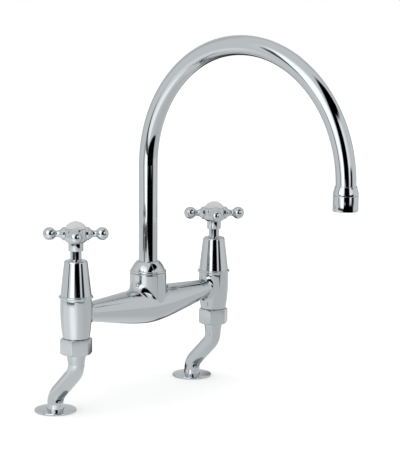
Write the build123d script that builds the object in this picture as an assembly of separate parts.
from build123d import *
import os
from math import acos, asin, cos, hypot, radians, sin, sqrt, tan

# A bridge basin mixer, in millimetres, Z up.
# The origin lies on the deck, midway between the two inlet holes.
# X runs along the bridge. The legs crank back along +Y, and the spout reaches forward, to -Y.
# Each size is stated once below, and heights are stacked up from the deck.

# The plan
inlet_centres = 203.0
crank_back = 30.0

# Clearances
running_gap = 0.05
thread_gap = 0.05
curved_gap = 0.3
axial_play = 0.05
seam_gap = 0.4
cut_margin = 1.0

# Deck flange and its seal
flange_radius = 21.0
flange_rim_height = 2.2
flange_height = 3.2
flange_rim_round = 0.4
flange_dome_bow = 0.2
seal_inset = 4.5
seal_thickness = 1.2

# Cranked leg
leg_radius = 8.15
leg_bore_radius = 4.7
leg_foot_swell = 0.65
leg_foot_height = 7.8
leg_bend_radius = 18.0
leg_slope = 45.0
leg_top_straight = 10.2
leg_top_swell = 1.35
inlet_thread_radius = 6.45
inlet_thread_depth = 8.0

# Union between leg and column
nut_across_flats = 28.0
nut_height = 16.0
nut_web = 3.0
nut_chamfer = 1.3
nut_turn = 30.0
union_thread_radius = 12.0
tail_radius = 7.5
union_collar_gap = 1.0
union_collar_height = 3.0
union_washer_thickness = 1.5

# Valve column of the bridge
column_height = 38.0
column_foot_radius = 13.1
column_belly_radius = 15.5
column_belly_height = 29.7
column_top_radius = 15.3
valve_seat_height = 5.0
valve_seat_bore = 5.0
valve_chamber_radius = 10.2
valve_thread_radius = 10.4
valve_thread_length = 12.0

# Arms, belly and hub of the bridge
arm_end_height = 24.0
arm_end_radius = 7.4
belly_width_radius = 19.05
belly_depth_radius = 18.4
belly_drop = 5.9
belly_round = 20.0
arm_section_count = 11
arm_bore_radius = 4.0
arm_bore_drop = 3.8
hub_inset = 0.45
hub_height = 52.1
hub_edge_round = 1.6
hub_chamber_radius = 11.0
hub_chamber_depth = 12.0
hub_fillet = 9.0
column_fillet = 6.0

# Spout foot, its rings and the collar
foot_radius = 13.0
foot_length = 15.0
foot_neck_wall = 1.95
foot_neck_length = 6.0
foot_shoulder_width = 1.8
foot_shoulder_height = 2.8
foot_tube_socket = 14.0
thrust_ring_height = 1.2
collar_thread_clearance = 0.6
collar_thread_length = 7.0
collar_band_height = 2.1
collar_edge_round = 1.0
collar_shoulder_height = 9.2
collar_lip = 1.8
collar_shoulder_bow = 0.5
o_ring_radius = 1.0
o_ring_squeeze = 0.15
foot_o_ring_heights = (4.0, 10.0)

# Spout tube
tube_radius = 9.5
tube_wall = 1.5
riser_height = 109.5
neck_radius = 123.5

# Spout end
tube_end_length = 5.0
ferrule_height = 8.4
ferrule_ring_wall = 0.9
ferrule_ring_height = 1.2
ferrule_cone_height = 5.1
end_thread_radius = 10.3
end_thread_length = 5.0
end_wall = 1.45
aerator_lip_width = 1.0
aerator_lip_height = 1.8
aerator_edge_round = 1.0
insert_height = 5.4
insert_floor = 1.6
insert_wall = 1.2
screen_thickness = 0.4
aerator_washer_thickness = 2.0
jet_hole_radius = 0.75
jet_hole_pitch = 2.3
jet_hole_rings = 3
jet_holes_per_ring_step = 6

# Valve body
valve_flange_height = 2.0
valve_hex_height = 7.0
valve_shank_radius = 9.0
valve_nose_radius = 8.0
valve_nose_height = 10.0
valve_tail_gap = 0.8
valve_tail_wall = 1.6
valve_tail_grip = 1.4
valve_window_width = 9.0
valve_window_height = 8.0
valve_o_ring_radius = 0.9

# Discs and seal
disc_gap = 0.4
disc_thickness = 3.0
disc_port_radius = 2.2
disc_port_offset = 3.9
disc_slot_width = 4.0
disc_slot_depth = 1.6
seat_seal_height = 3.0
seat_seal_wall = 1.1

# Spindle
spindle_radius = 5.45
spindle_show = 9.0
spindle_square = 7.0
spindle_foot_height = 3.0
spindle_o_ring_heights = (6.0, 11.0)
clip_inset = 1.0
clip_thickness = 1.2
clip_groove_depth = 0.8
clip_mouth_width = 7.0

# Valve cover
cover_foot_radius = 15.25
cover_lip_radius = 17.0
cover_lip_height = 4.0
cover_lip_thickness = 2.0
cover_top_radius = 11.5
cover_height = 38.7
cover_top_round = 2.6
cover_wall = 1.8
cover_roof = 3.2
cover_head_room = 2.5

# Cross handle
handle_turn = 45.0
sleeve_radius = 7.3
sleeve_height = 8.0
boss_radius = 12.2
boss_widest_height = 13.4
boss_top_radius = 10.7
boss_top_height = 22.0
boss_lower_bow = 1.0
boss_upper_bow = 0.5
arm_axis_height = 16.8
arm_root_radius = 6.6
arm_neck_radius = 3.15
arm_neck_bend = 3.0
arm_flare_bend = 6.0
arm_flare_turn = 43.0
ball_radius = 6.4
ball_reach = 25.4
arms_per_handle = 4
handle_web_thickness = 2.7
handle_recess_radius = 7.0

# Handle screw and index cap
screw_radius = 2.4
screw_length = 12.0
screw_head_radius = 4.4
screw_head_height = 2.6
screw_head_room = 0.9
screw_socket_flats = 3.0
screw_socket_depth = 1.5
cap_inset = 0.3
cap_rim_height = 0.8
cap_dome_height = 6.2
cap_stem_height = 1.5

# Widths that follow from others
seal_radius = flange_radius - seal_inset
leg_foot_radius = leg_radius + leg_foot_swell
leg_top_radius = leg_radius + leg_top_swell
union_collar_radius = union_thread_radius - union_collar_gap
hub_radius = belly_width_radius - hub_inset
foot_neck_radius = tube_radius + thread_gap + foot_neck_wall
foot_shoulder_radius = foot_radius + foot_shoulder_width
collar_thread_radius = foot_shoulder_radius + collar_thread_clearance
collar_radius = hub_radius - thread_gap
collar_top_radius = tube_radius + curved_gap + collar_lip
tube_bore_radius = tube_radius - tube_wall
ferrule_ring_radius = tube_radius + ferrule_ring_wall
end_radius = end_thread_radius + end_wall
aerator_lip_radius = end_thread_radius - aerator_lip_width
valve_tail_radius = valve_chamber_radius - valve_tail_gap
valve_tail_bore = valve_tail_radius - valve_tail_wall
disc_radius = valve_tail_bore - disc_gap
clip_radius = valve_nose_radius - clip_inset
cap_radius = boss_top_radius - cap_inset

# Places in plan
column_x = inlet_centres / 2
column_y = -crank_back
sides = {"left": -column_x, "right": column_x}

# Heights above the deck
slope = radians(leg_slope)
crank_straight = (crank_back - 2 * leg_bend_radius * (1 - cos(slope))) / sin(slope)
crank_rise = 2 * leg_bend_radius * sin(slope) + crank_straight * cos(slope)
crank_top_z = leg_foot_height + crank_rise
nut_z = crank_top_z + leg_top_straight
nut_top_z = nut_z + nut_height
union_collar_z = nut_z + nut_web
union_washer_z = union_collar_z + union_collar_height
column_spigot_z = union_washer_z + union_washer_thickness
column_z = nut_top_z + seam_gap
column_top_z = column_z + column_height
valve_seat_z = column_z + valve_seat_height
arm_end_z = column_z + arm_end_height
arm_bore_z = arm_end_z - arm_bore_drop
belly_z = arm_end_z - belly_drop
hub_top_z = column_z + hub_height
neck_centre_z = hub_top_z + riser_height

# The valve stack, upward from the seat
fixed_disc_z = valve_seat_z + seat_seal_height
valve_tail_z = fixed_disc_z - valve_tail_grip
moving_disc_z = fixed_disc_z + disc_thickness
spindle_foot_z = moving_disc_z + disc_thickness + axial_play
valve_thread_z = column_top_z - valve_thread_length
valve_hex_z = column_top_z + valve_flange_height
valve_shank_z = valve_hex_z + valve_hex_height
cover_top_z = column_top_z + cover_height
valve_top_z = cover_top_z - cover_roof - cover_head_room
valve_nose_z = valve_top_z - valve_nose_height
clip_z = valve_top_z + axial_play
handle_z = cover_top_z + spindle_show
boss_top_z = handle_z + boss_top_height
handle_web_z = boss_top_z - cap_stem_height - screw_head_room - screw_head_height
socket_top_z = handle_web_z - handle_web_thickness
square_top_z = socket_top_z - curved_gap

# The spout foot's stack
collar_spigot_z = hub_top_z - collar_thread_length
upper_ring_z = collar_spigot_z - thrust_ring_height
shoulder_z = upper_ring_z - axial_play - foot_shoulder_height
hub_step_z = shoulder_z - axial_play - thrust_ring_height
foot_z = hub_step_z - foot_length

# The spout's end, downward from the neck
tip_y = column_y - 2 * neck_radius
ferrule_top_z = neck_centre_z
ferrule_z = ferrule_top_z - ferrule_height
end_thread_z = ferrule_z - end_thread_length
screen_z = end_thread_z - aerator_washer_thickness - screen_thickness
insert_z = screen_z - insert_height
outlet_z = insert_z - aerator_lip_height


def disc(radius, low, high):
    """A round bar about Z between two heights."""
    return Pos(0, 0, low) * Cylinder(radius, high - low, align=(Align.CENTER, Align.CENTER, Align.MIN))


def ring(outer_radius, inner_radius, low, high):
    """A tube about Z between two heights."""
    return disc(outer_radius, low, high) - disc(inner_radius, low, high)


def hexagon(across_flats, low, high, turn=0.0):
    """A six-sided bar about Z, one corner at the angle turn."""
    outline = RegularPolygon(across_flats / 2, 6, major_radius=False, rotation=turn)
    return extrude(Pos(0, 0, low) * outline, high - low)


def bar(length, width, low, high):
    """A square bar about Z between two heights, its length along X."""
    return Pos(0, 0, low) * Box(length, width, high - low, align=(Align.CENTER, Align.CENTER, Align.MIN))


def spun(*edges):
    """A solid spun about Z from outline edges drawn as (radius, 0, height)."""
    return revolve(make_face(edges), Axis.Z)


def run(*points):
    """Straight outline edges through (radius, height) points."""
    return Polyline(*[(radius, 0, height) for radius, height in points])


def arc(start, middle, end):
    """An outline arc through three (radius, height) points."""
    return ThreePointArc(*[(radius, 0, height) for radius, height in (start, middle, end)])


def corner_middle(radius, height, rounding):
    """The middle of an outer corner's round, which lies below the corner where rounding is negative."""
    inset = abs(rounding) * (1 - sqrt(0.5))
    return (radius - inset, height + (inset if rounding > 0 else -inset))


def bowed(start, end, bow):
    """An outline arc from start to end that bows out to the right of its way."""
    way_across = end[0] - start[0]
    way_up = end[1] - start[1]
    length = hypot(way_across, way_up)
    middle = ((start[0] + end[0]) / 2 + bow * way_up / length,
              (start[1] + end[1]) / 2 - bow * way_across / length)
    return arc(start, middle, end)


def o_ring(centre_radius, section_radius, height):
    """A rubber ring of round section."""
    return Pos(0, 0, height) * Torus(centre_radius, section_radius)


def grooved(body, centre_radius, section_radius, height):
    """The body with a square groove that holds an o-ring, open to the outside."""
    half = section_radius + running_gap
    opening_radius = centre_radius + section_radius + cut_margin
    groove = ring(opening_radius, centre_radius - section_radius, height - half, height + half)
    return body - groove


def deck_flange():
    """The domed cover flange, flat below, with a recess for its seal."""
    hole_radius = leg_foot_radius + running_gap
    rim_shoulder = flange_radius - flange_rim_round
    body = spun(
        run((hole_radius, flange_height), (hole_radius, 0), (rim_shoulder, 0)),
        arc((rim_shoulder, 0), (flange_radius, flange_rim_height / 2), (rim_shoulder, flange_rim_height)),
        bowed((rim_shoulder, flange_rim_height), (hole_radius, flange_height), flange_dome_bow),
    )
    return body - disc(seal_radius + running_gap, 0, seal_thickness)


def deck_seal():
    """The rubber washer in the flange's underside."""
    return ring(seal_radius, leg_foot_radius + curved_gap, 0, seal_thickness)


def leg_path(low, high):
    """The leg's line: straight up from the deck, forward by the crank, and up to its tail."""
    foot_end = Vector(0, 0, leg_foot_height)
    crank_end = Vector(0, column_y, crank_top_z)
    start = Vector(0, 0, low)
    end = Vector(0, column_y, high)
    turn_y = leg_bend_radius * (1 - cos(slope))
    turn_z = leg_bend_radius * sin(slope)
    half_y = leg_bend_radius * (1 - cos(slope / 2))
    half_z = leg_bend_radius * sin(slope / 2)
    lower_end = foot_end + Vector(0, -turn_y, turn_z)
    upper_start = crank_end + Vector(0, turn_y, -turn_z)
    lower_middle = foot_end + Vector(0, -half_y, half_z)
    upper_middle = crank_end + Vector(0, half_y, -half_z)
    return Wire([
        Line(start, foot_end),
        ThreePointArc(foot_end, lower_middle, lower_end),
        Line(lower_end, upper_start),
        ThreePointArc(upper_start, upper_middle, crank_end),
        Line(crank_end, end),
    ])


def leg():
    """The cranked leg: a bent pipe, wider at its foot and under its nut, bored right through."""
    shoulder_top = nut_z - curved_gap
    pipe = sweep(Circle(leg_radius), path=leg_path(0, shoulder_top))
    foot = spun(run((0, 0), (leg_foot_radius, 0), (leg_foot_radius, flange_height),
                    (leg_radius, leg_foot_height), (0, leg_foot_height), (0, 0)))
    shoulder = spun(run((0, crank_top_z), (leg_radius, crank_top_z), (leg_top_radius, shoulder_top),
                        (0, shoulder_top), (0, crank_top_z)))
    tail = disc(tail_radius, shoulder_top, union_washer_z)
    body = pipe + foot + Pos(0, column_y, 0) * (shoulder + tail)
    bore = sweep(Circle(leg_bore_radius), path=leg_path(0, union_washer_z))
    inlet = disc(inlet_thread_radius, 0, inlet_thread_depth)
    return body - bore - inlet


def union_collar():
    """The collar on the leg's tail, which the nut draws up."""
    return ring(union_collar_radius, tail_radius + thread_gap, union_collar_z, union_washer_z)


def union_washer():
    """The flat washer between the collar and the column."""
    return ring(union_collar_radius, leg_bore_radius + curved_gap, union_washer_z, column_spigot_z)


def union_nut():
    """The hexagon nut, with chamfered ends, a web below and its thread above."""
    nut = hexagon(nut_across_flats, nut_z, nut_top_z, nut_turn)
    corner_radius = nut_across_flats / sqrt(3)
    edge_radius = nut_across_flats / 2
    cone = spun(run((0, nut_z), (edge_radius, nut_z), (corner_radius, nut_z + nut_chamfer),
                    (corner_radius, nut_top_z - nut_chamfer), (edge_radius, nut_top_z), (0, nut_top_z),
                    (0, nut_z)))
    hole = disc(tail_radius + curved_gap, nut_z, union_collar_z)
    thread = disc(union_thread_radius + thread_gap, union_collar_z, nut_top_z)
    return (nut & cone) - hole - thread


def column():
    """One valve column without its inside: a tapering barrel over a threaded spigot."""
    foot = (column_foot_radius, column_z)
    belly = (column_belly_radius, column_z + column_belly_height)
    top = (column_top_radius, column_top_z)
    barrel = spun(run(top, (0, column_top_z), (0, column_z), foot), arc(foot, belly, top))
    return barrel + disc(union_thread_radius, column_spigot_z, column_z)


def column_inside():
    """What is hollow in a column: the valve's thread and chamber, and the seat's way down."""
    thread = disc(valve_thread_radius + thread_gap, valve_thread_z, column_top_z)
    chamber = disc(valve_chamber_radius, valve_seat_z, valve_thread_z)
    way_down = disc(valve_seat_bore, column_spigot_z, valve_seat_z)
    return thread + chamber + way_down


def arm_section(x):
    """One oval section across the arms, which grow towards the hub and round over under it."""
    reach = sqrt(x ** 2 + belly_round ** 2) - belly_round
    share = reach / (sqrt(column_x ** 2 + belly_round ** 2) - belly_round)
    width_radius = belly_width_radius + share * (arm_end_radius - belly_width_radius)
    depth_radius = belly_depth_radius + share * (arm_end_radius - belly_depth_radius)
    plane = Plane(origin=(x, 0, belly_z + share * belly_drop), x_dir=(0, 1, 0), z_dir=(1, 0, 0))
    return plane * Ellipse(width_radius, depth_radius)


def arms():
    """The two arms in one boat-shaped body, deepest under the hub."""
    step = 2 * column_x / (arm_section_count - 1)
    return loft([arm_section(-column_x + number * step) for number in range(arm_section_count)])


def joined(first, second, rounding):
    """Two bodies made one, with a fillet along the seam where their skins meet."""
    body = first + second
    return fillet(new_edges(first, second, combined=body), rounding)


def hub():
    """The upright hub without its inside, its top edge rounded."""
    round_start = (hub_radius, hub_top_z - hub_edge_round)
    round_end = (hub_radius - hub_edge_round, hub_top_z)
    return spun(
        run(round_end, (0, hub_top_z), (0, belly_z), (hub_radius, belly_z), round_start),
        arc(round_start, corner_middle(hub_radius, hub_top_z, -hub_edge_round), round_end),
    )


def hub_inside():
    """The hub's bores: collar thread, foot bearing and mixing chamber."""
    thread = disc(collar_thread_radius + thread_gap, hub_step_z, hub_top_z)
    bearing = disc(foot_radius + running_gap, foot_z - curved_gap, hub_step_z)
    chamber = disc(hub_chamber_radius, arm_bore_z - hub_chamber_depth, foot_z)
    return thread + bearing + chamber


def bridge_body():
    """The casting: arms, hub and two columns, with its waterways."""
    body = joined(arms(), hub(), hub_fillet)
    for x in sides.values():
        body = joined(body, Pos(x, 0, 0) * column(), column_fillet)
    waterway = Pos(0, 0, arm_bore_z) * Rot(0, 90, 0) * Cylinder(arm_bore_radius, inlet_centres)
    body = body - waterway - hub_inside()
    for x in sides.values():
        body -= Pos(x, 0, 0) * column_inside()
    return Pos(0, column_y, 0) * body


def cover_inside(height):
    """The radius inside the cover's cone at a height."""
    cone_height = cover_height - cover_top_round - cover_lip_height
    taper = (cover_foot_radius - cover_top_radius) / cone_height
    return cover_foot_radius - cover_wall - taper * (height - column_top_z - cover_lip_height)


def valve_body():
    """The valve body: windowed tail, thread, flange, hexagon, shank and nose."""
    tail = disc(valve_tail_radius, valve_tail_z, valve_thread_z)
    thread = disc(valve_thread_radius, valve_thread_z, column_top_z)
    flange = disc(cover_foot_radius - cover_wall - curved_gap, column_top_z, valve_hex_z)
    corner_radius = cover_inside(valve_shank_z) - curved_gap
    spanner_flats = hexagon(sqrt(3) * corner_radius, valve_hex_z, valve_shank_z)
    shank = disc(valve_shank_radius, valve_shank_z, valve_nose_z)
    nose = disc(valve_nose_radius, valve_nose_z, valve_top_z)
    body = tail + thread + flange + spanner_flats + shank + nose
    body = grooved(body, valve_thread_radius - valve_o_ring_radius, valve_o_ring_radius,
                   column_top_z - 2 * valve_o_ring_radius)
    chamber_top_z = spindle_foot_z + spindle_foot_height + axial_play
    chamber = disc(valve_tail_bore, valve_tail_z, chamber_top_z)
    bearing = disc(spindle_radius + running_gap, chamber_top_z, valve_top_z)
    window_z = moving_disc_z + disc_thickness / 2
    window_length = 2 * (valve_tail_radius + cut_margin)
    window = bar(window_length, valve_window_width, window_z, window_z + valve_window_height)
    return body - chamber - bearing - window


def valve_o_ring():
    """The seal between the valve body and its column."""
    return o_ring(valve_thread_radius - valve_o_ring_radius, valve_o_ring_radius - o_ring_squeeze,
                  column_top_z - 2 * valve_o_ring_radius)


def disc_ports(low, high):
    """Two round ports through a ceramic disc, one each side of its middle."""
    port = disc(disc_port_radius, low, high)
    return Pos(0, disc_port_offset, 0) * port + Pos(0, -disc_port_offset, 0) * port


def seat_seal():
    """The rubber seal pressed between the fixed disc and the column's seat."""
    return ring(disc_radius, disc_radius - seat_seal_wall, valve_seat_z, fixed_disc_z)


def fixed_disc():
    """The lower ceramic disc, whose ports lie along Y."""
    return disc(disc_radius, fixed_disc_z, moving_disc_z) - disc_ports(fixed_disc_z, moving_disc_z)


def moving_disc():
    """The upper ceramic disc, turned a quarter from the open place, slotted for the spindle."""
    top_z = moving_disc_z + disc_thickness
    plate = disc(disc_radius, moving_disc_z + axial_play, top_z)
    slot_length = 2 * (disc_radius + cut_margin)
    slot = bar(slot_length, disc_slot_width, top_z - disc_slot_depth, top_z + cut_margin)
    return plate - Rot(0, 0, 90) * disc_ports(moving_disc_z, top_z) - slot


def spindle():
    """The spindle: driving tang, foot, long round shank with grooves, and square top."""
    tang_radius = valve_tail_bore - curved_gap
    foot_top_z = spindle_foot_z + spindle_foot_height
    foot = disc(tang_radius, spindle_foot_z, foot_top_z)
    tang_width = disc_slot_width - 2 * running_gap
    tang_z = spindle_foot_z - disc_slot_depth + running_gap
    tang = bar(2 * tang_radius, tang_width, tang_z, foot_top_z) & disc(tang_radius, tang_z, foot_top_z)
    shank = disc(spindle_radius, foot_top_z, handle_z)
    square = Rot(0, 0, handle_turn) * bar(spindle_square, spindle_square, handle_z, square_top_z)
    body = foot + tang + shank + square
    for height in spindle_o_ring_heights:
        body = grooved(body, spindle_radius - o_ring_radius, o_ring_radius, valve_shank_z + height)
    body -= ring(clip_radius, spindle_radius - clip_groove_depth, clip_z, clip_z + clip_thickness)
    tapped = disc(screw_radius + thread_gap, handle_web_z - screw_length - axial_play, square_top_z)
    return body - tapped


def spindle_o_rings():
    """The spindle's two seals."""
    rings = [
        o_ring(spindle_radius - o_ring_radius, o_ring_radius - o_ring_squeeze, valve_shank_z + height)
        for height in spindle_o_ring_heights
    ]
    return rings[0] + rings[1]


def spindle_clip():
    """The open clip in the spindle's groove, which rests on the valve body."""
    clip = ring(clip_radius, spindle_radius - clip_groove_depth, clip_z, clip_z + clip_thickness)
    mouth = bar(2 * clip_radius, clip_mouth_width, clip_z, clip_z + clip_thickness)
    return clip - Pos(clip_radius, 0, 0) * mouth


def valve_cover():
    """The bell-shaped cover, screwed on the valve's nose, its lip on the column."""
    lip_z = column_top_z + cover_lip_height / 2 + cover_lip_thickness / 4
    lip_low = (cover_foot_radius, lip_z - cover_lip_thickness / 2)
    lip_top = (cover_foot_radius, lip_z + cover_lip_thickness / 2)
    cone_z = column_top_z + cover_lip_height
    round_start = (cover_top_radius, cover_top_z - cover_top_round)
    round_end = (cover_top_radius - cover_top_round, cover_top_z)
    outside = spun(
        run(round_end, (0, cover_top_z), (0, column_top_z), (cover_foot_radius, column_top_z), lip_low),
        arc(lip_low, (cover_lip_radius, lip_z), lip_top),
        run(lip_top, (cover_foot_radius, cone_z), round_start),
        arc(round_start, corner_middle(cover_top_radius, cover_top_z, -cover_top_round), round_end),
    )
    hollow_radius = cover_foot_radius - cover_wall
    hollow = spun(run((0, column_top_z), (hollow_radius, column_top_z), (hollow_radius, cone_z),
                      (cover_inside(valve_nose_z), valve_nose_z), (0, valve_nose_z), (0, column_top_z)))
    thread = disc(valve_nose_radius + thread_gap, valve_nose_z, cover_top_z - cover_roof)
    hole = disc(spindle_radius + curved_gap, cover_top_z - cover_roof, cover_top_z)
    return outside - hollow - thread - hole


def handle_arm():
    """One arm of the cross along +X: a flared root that bends through a neck into a ball."""
    bend_reach = ball_radius + arm_neck_bend
    bend_rise = arm_neck_radius + arm_neck_bend
    neck_reach = ball_reach - sqrt(bend_reach ** 2 - bend_rise ** 2)
    ball_turn = acos(bend_rise / bend_reach)
    flare_turn = radians(arm_flare_turn)

    def on_bend(bend, turn):
        """A point of a bend that starts at the neck, turned towards the ball."""
        return (neck_reach + bend * sin(turn), arm_neck_radius + bend * (1 - cos(turn)))

    neck = (neck_reach, arm_neck_radius)
    ball_start = on_bend(arm_neck_bend, ball_turn)
    flare_end = on_bend(arm_flare_bend, -flare_turn)
    root_reach = flare_end[0] - (arm_root_radius - flare_end[1]) / tan(flare_turn)
    tip = (ball_reach + ball_radius, 0)
    outline = make_face([
        arc(ball_start, on_bend(arm_neck_bend, ball_turn / 2), neck),
        arc(neck, on_bend(arm_flare_bend, -flare_turn / 2), flare_end),
        run(flare_end, (root_reach, arm_root_radius), (0, arm_root_radius), (0, 0), tip),
        arc(tip, (ball_reach, ball_radius), ball_start),
    ])
    return revolve(outline, Axis.X)


def handle():
    """The cross handle: sleeve, lens-shaped boss and four arms, with a square socket."""
    sleeve_top = (sleeve_radius, handle_z + sleeve_height)
    widest = (boss_radius, handle_z + boss_widest_height)
    top = (boss_top_radius, boss_top_z)
    body = spun(
        run(top, (0, boss_top_z), (0, handle_z), (sleeve_radius, handle_z), sleeve_top),
        bowed(sleeve_top, widest, boss_lower_bow),
        bowed(widest, top, boss_upper_bow),
    )
    for number in range(arms_per_handle):
        turned = Rot(0, 0, number * 360 / arms_per_handle) * handle_arm()
        body += Pos(0, 0, handle_z + arm_axis_height) * turned
    square = spindle_square + 2 * thread_gap
    socket = bar(square, square, handle_z, socket_top_z)
    screw_hole = disc(screw_radius + thread_gap, handle_z, handle_web_z)
    recess = disc(handle_recess_radius, handle_web_z, boss_top_z)
    cap_seat = disc(cap_radius + thread_gap, boss_top_z, boss_top_z + arm_root_radius)
    return Rot(0, 0, handle_turn) * (body - socket - screw_hole - recess - cap_seat)


def handle_screw():
    """The screw that holds the handle on its spindle, with a six-sided socket."""
    shank = disc(screw_radius, handle_web_z - screw_length, handle_web_z)
    head = disc(screw_head_radius, handle_web_z, handle_web_z + screw_head_height)
    head_top = handle_web_z + screw_head_height
    return shank + head - hexagon(screw_socket_flats, head_top - screw_socket_depth, head_top)


def index_cap():
    """The plain domed cap pressed into the handle's recess."""
    rim_z = boss_top_z + cap_rim_height
    dome_radius = (cap_radius ** 2 + cap_dome_height ** 2) / (2 * cap_dome_height)
    half_turn = asin(cap_radius / dome_radius) / 2
    dome_z = rim_z + cap_dome_height
    middle = (dome_radius * sin(half_turn), dome_z - dome_radius * (1 - cos(half_turn)))
    dome = spun(
        run((0, dome_z), (0, boss_top_z), (cap_radius, boss_top_z), (cap_radius, rim_z)),
        arc((cap_radius, rim_z), middle, (0, dome_z)),
    )
    return dome + disc(handle_recess_radius - thread_gap, boss_top_z - cap_stem_height, boss_top_z)


def spout_foot():
    """The sleeve that turns in the hub: bearing, shoulder and neck round the riser's end."""
    bearing = disc(foot_radius, foot_z, shoulder_z)
    shoulder = disc(foot_shoulder_radius, shoulder_z, shoulder_z + foot_shoulder_height)
    neck = disc(foot_neck_radius, shoulder_z + foot_shoulder_height,
                shoulder_z + foot_shoulder_height + foot_neck_length)
    body = bearing + shoulder + neck
    for height in foot_o_ring_heights:
        body = grooved(body, foot_radius - o_ring_radius, o_ring_radius, foot_z + height)
    top_z = shoulder_z + foot_shoulder_height + foot_neck_length
    socket = disc(tube_radius + thread_gap, top_z - foot_tube_socket, top_z)
    return body - socket - disc(tube_bore_radius, foot_z, top_z)


def spout_o_rings():
    """The two seals round the foot."""
    rings = [
        o_ring(foot_radius - o_ring_radius, o_ring_radius - o_ring_squeeze, foot_z + height)
        for height in foot_o_ring_heights
    ]
    return rings[0] + rings[1]


def spout_thrust_rings():
    """The two slippery rings above and below the foot's shoulder."""
    lower = ring(collar_thread_radius - curved_gap, foot_radius + curved_gap, hub_step_z,
                 hub_step_z + thrust_ring_height)
    upper = ring(collar_thread_radius - curved_gap, foot_neck_radius + curved_gap, upper_ring_z,
                 collar_spigot_z)
    return lower + upper


def spout_collar():
    """The collar nut: threaded spigot in the hub, band, and a rounded shoulder round the riser."""
    band_z = hub_top_z + axial_play
    shoulder_low_z = band_z + collar_band_height
    top_z = shoulder_low_z + collar_shoulder_height
    round_start = (collar_radius, shoulder_low_z - collar_edge_round)
    round_end = (collar_radius - collar_edge_round, shoulder_low_z)
    outside = spun(
        run((collar_top_radius, top_z), (0, top_z), (0, collar_spigot_z),
            (collar_thread_radius, collar_spigot_z), (collar_thread_radius, band_z),
            (collar_radius, band_z), round_start),
        arc(round_start, corner_middle(collar_radius, shoulder_low_z, -collar_edge_round), round_end),
        bowed(round_end, (collar_top_radius, top_z), collar_shoulder_bow),
    )
    cavity = disc(foot_neck_radius + curved_gap, collar_spigot_z, band_z + collar_band_height)
    return outside - cavity - disc(tube_radius + curved_gap, collar_spigot_z, top_z)


def spout_path(low):
    """The spout's line: up the riser, over a half circle and a little down again."""
    base = Vector(0, column_y, low)
    riser_top = Vector(0, column_y, neck_centre_z)
    crown = Vector(0, column_y - neck_radius, neck_centre_z + neck_radius)
    neck_end = Vector(0, tip_y, neck_centre_z)
    return Wire([
        Line(base, riser_top),
        ThreePointArc(riser_top, crown, neck_end),
        Line(neck_end, neck_end - Vector(0, 0, tube_end_length)),
    ])


def spout_tube():
    """The riser and swan neck, one bent tube."""
    foot_top_z = shoulder_z + foot_shoulder_height + foot_neck_length
    path = spout_path(foot_top_z - foot_tube_socket)
    section = Circle(tube_radius) - Circle(tube_bore_radius)
    return sweep(Plane(origin=path @ 0) * section, path=path)


def spout_ferrule():
    """The cone brazed on the tube's end, with the aerator's thread below."""
    ring_z = ferrule_top_z - ferrule_ring_height
    cone_z = ring_z - ferrule_cone_height
    outside = spun(run(
        (0, ferrule_top_z), (ferrule_ring_radius, ferrule_top_z), (ferrule_ring_radius, ring_z),
        (end_radius, cone_z), (end_radius, ferrule_z), (end_thread_radius, ferrule_z),
        (end_thread_radius, end_thread_z), (0, end_thread_z), (0, ferrule_top_z),
    ))
    socket = disc(tube_radius + thread_gap, ferrule_top_z - tube_end_length, ferrule_top_z)
    waterway = disc(tube_bore_radius, end_thread_z, ferrule_top_z)
    return outside - socket - waterway


def aerator_housing():
    """The straight ring that screws on the ferrule, with a lip below for the insert."""
    top_z = ferrule_z - axial_play
    round_start = (end_radius - aerator_edge_round, outlet_z)
    round_end = (end_radius, outlet_z + aerator_edge_round)
    outside = spun(
        run(round_end, (end_radius, top_z), (0, top_z), (0, outlet_z), round_start),
        arc(round_start, corner_middle(end_radius, outlet_z, aerator_edge_round), round_end),
    )
    hollow = disc(end_thread_radius + thread_gap, insert_z, top_z)
    return outside - hollow - disc(aerator_lip_radius, outlet_z, top_z)


def jet_holes(low, high):
    """Small holes in rings about a middle one."""
    hole = disc(jet_hole_radius, low, high)
    holes = [hole]
    for ring_number in range(1, jet_hole_rings + 1):
        count = jet_holes_per_ring_step * ring_number
        reach = jet_hole_pitch * ring_number
        holes += [Rot(0, 0, step * 360 / count) * Pos(reach, 0, 0) * hole for step in range(count)]
    return Part() + holes


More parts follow.
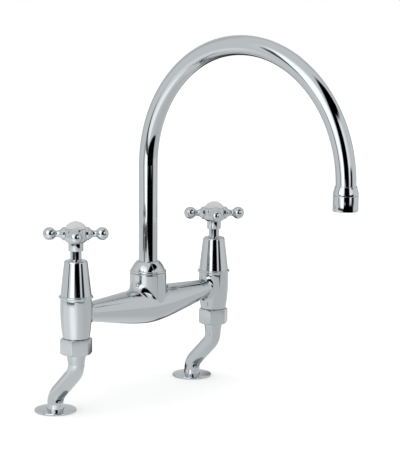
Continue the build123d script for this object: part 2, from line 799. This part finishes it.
def aerator_insert():
    """The moulded flow straightener: a cup whose floor is full of small holes."""
    radius = end_thread_radius - curved_gap
    floor_z = insert_z + insert_floor
    cup = disc(radius, insert_z, screen_z) - disc(radius - insert_wall, floor_z, screen_z)
    return cup - jet_holes(insert_z, floor_z)


def flow_screen():
    """The thin metal screen on the insert's rim."""
    top_z = screen_z + screen_thickness
    return disc(end_thread_radius - curved_gap, screen_z, top_z) - jet_holes(screen_z, top_z)


def aerator_washer():
    """The rubber washer between the screen and the ferrule's end."""
    return ring(end_thread_radius - curved_gap, tube_bore_radius, screen_z + screen_thickness, end_thread_z)


def save(node, shape):
    """Write one named piece."""
    export_step(shape, f"parts/{node}.step")


def save_pairs():
    """Write the pieces that both sides have, at each leg or column."""
    at_deck = {"deck_flange": deck_flange(), "deck_seal": deck_seal(), "leg": leg()}
    at_column = {
        "union_collar": union_collar(),
        "union_washer": union_washer(),
        "union_nut": union_nut(),
        "valve_body": valve_body(),
        "valve_o_ring": valve_o_ring(),
        "seat_seal": seat_seal(),
        "fixed_disc": fixed_disc(),
        "moving_disc": moving_disc(),
        "spindle": spindle(),
        "spindle_o_rings": spindle_o_rings(),
        "spindle_clip": spindle_clip(),
        "valve_cover": valve_cover(),
        "handle": handle(),
        "handle_screw": handle_screw(),
        "index_cap": index_cap(),
    }
    for side, x in sides.items():
        for name, shape in at_deck.items():
            save(f"{side}_{name}", Pos(x, 0, 0) * shape)
        for name, shape in at_column.items():
            save(f"{side}_{name}", Pos(x, column_y, 0) * shape)


def save_singles():
    """Write the bridge, the spout's base and the spout's end."""
    save("bridge_body", bridge_body())
    save("spout_tube", spout_tube())
    at_hub = {
        "spout_foot": spout_foot(),
        "spout_o_rings": spout_o_rings(),
        "spout_thrust_rings": spout_thrust_rings(),
        "spout_collar": spout_collar(),
    }
    at_tip = {
        "spout_ferrule": spout_ferrule(),
        "aerator_housing": aerator_housing(),
        "aerator_insert": aerator_insert(),
        "flow_screen": flow_screen(),
        "aerator_washer": aerator_washer(),
    }
    for name, shape in at_hub.items():
        save(name, Pos(0, column_y, 0) * shape)
    for name, shape in at_tip.items():
        save(name, Pos(0, tip_y, 0) * shape)


os.makedirs("parts", exist_ok=True)
save_pairs()
save_singles()
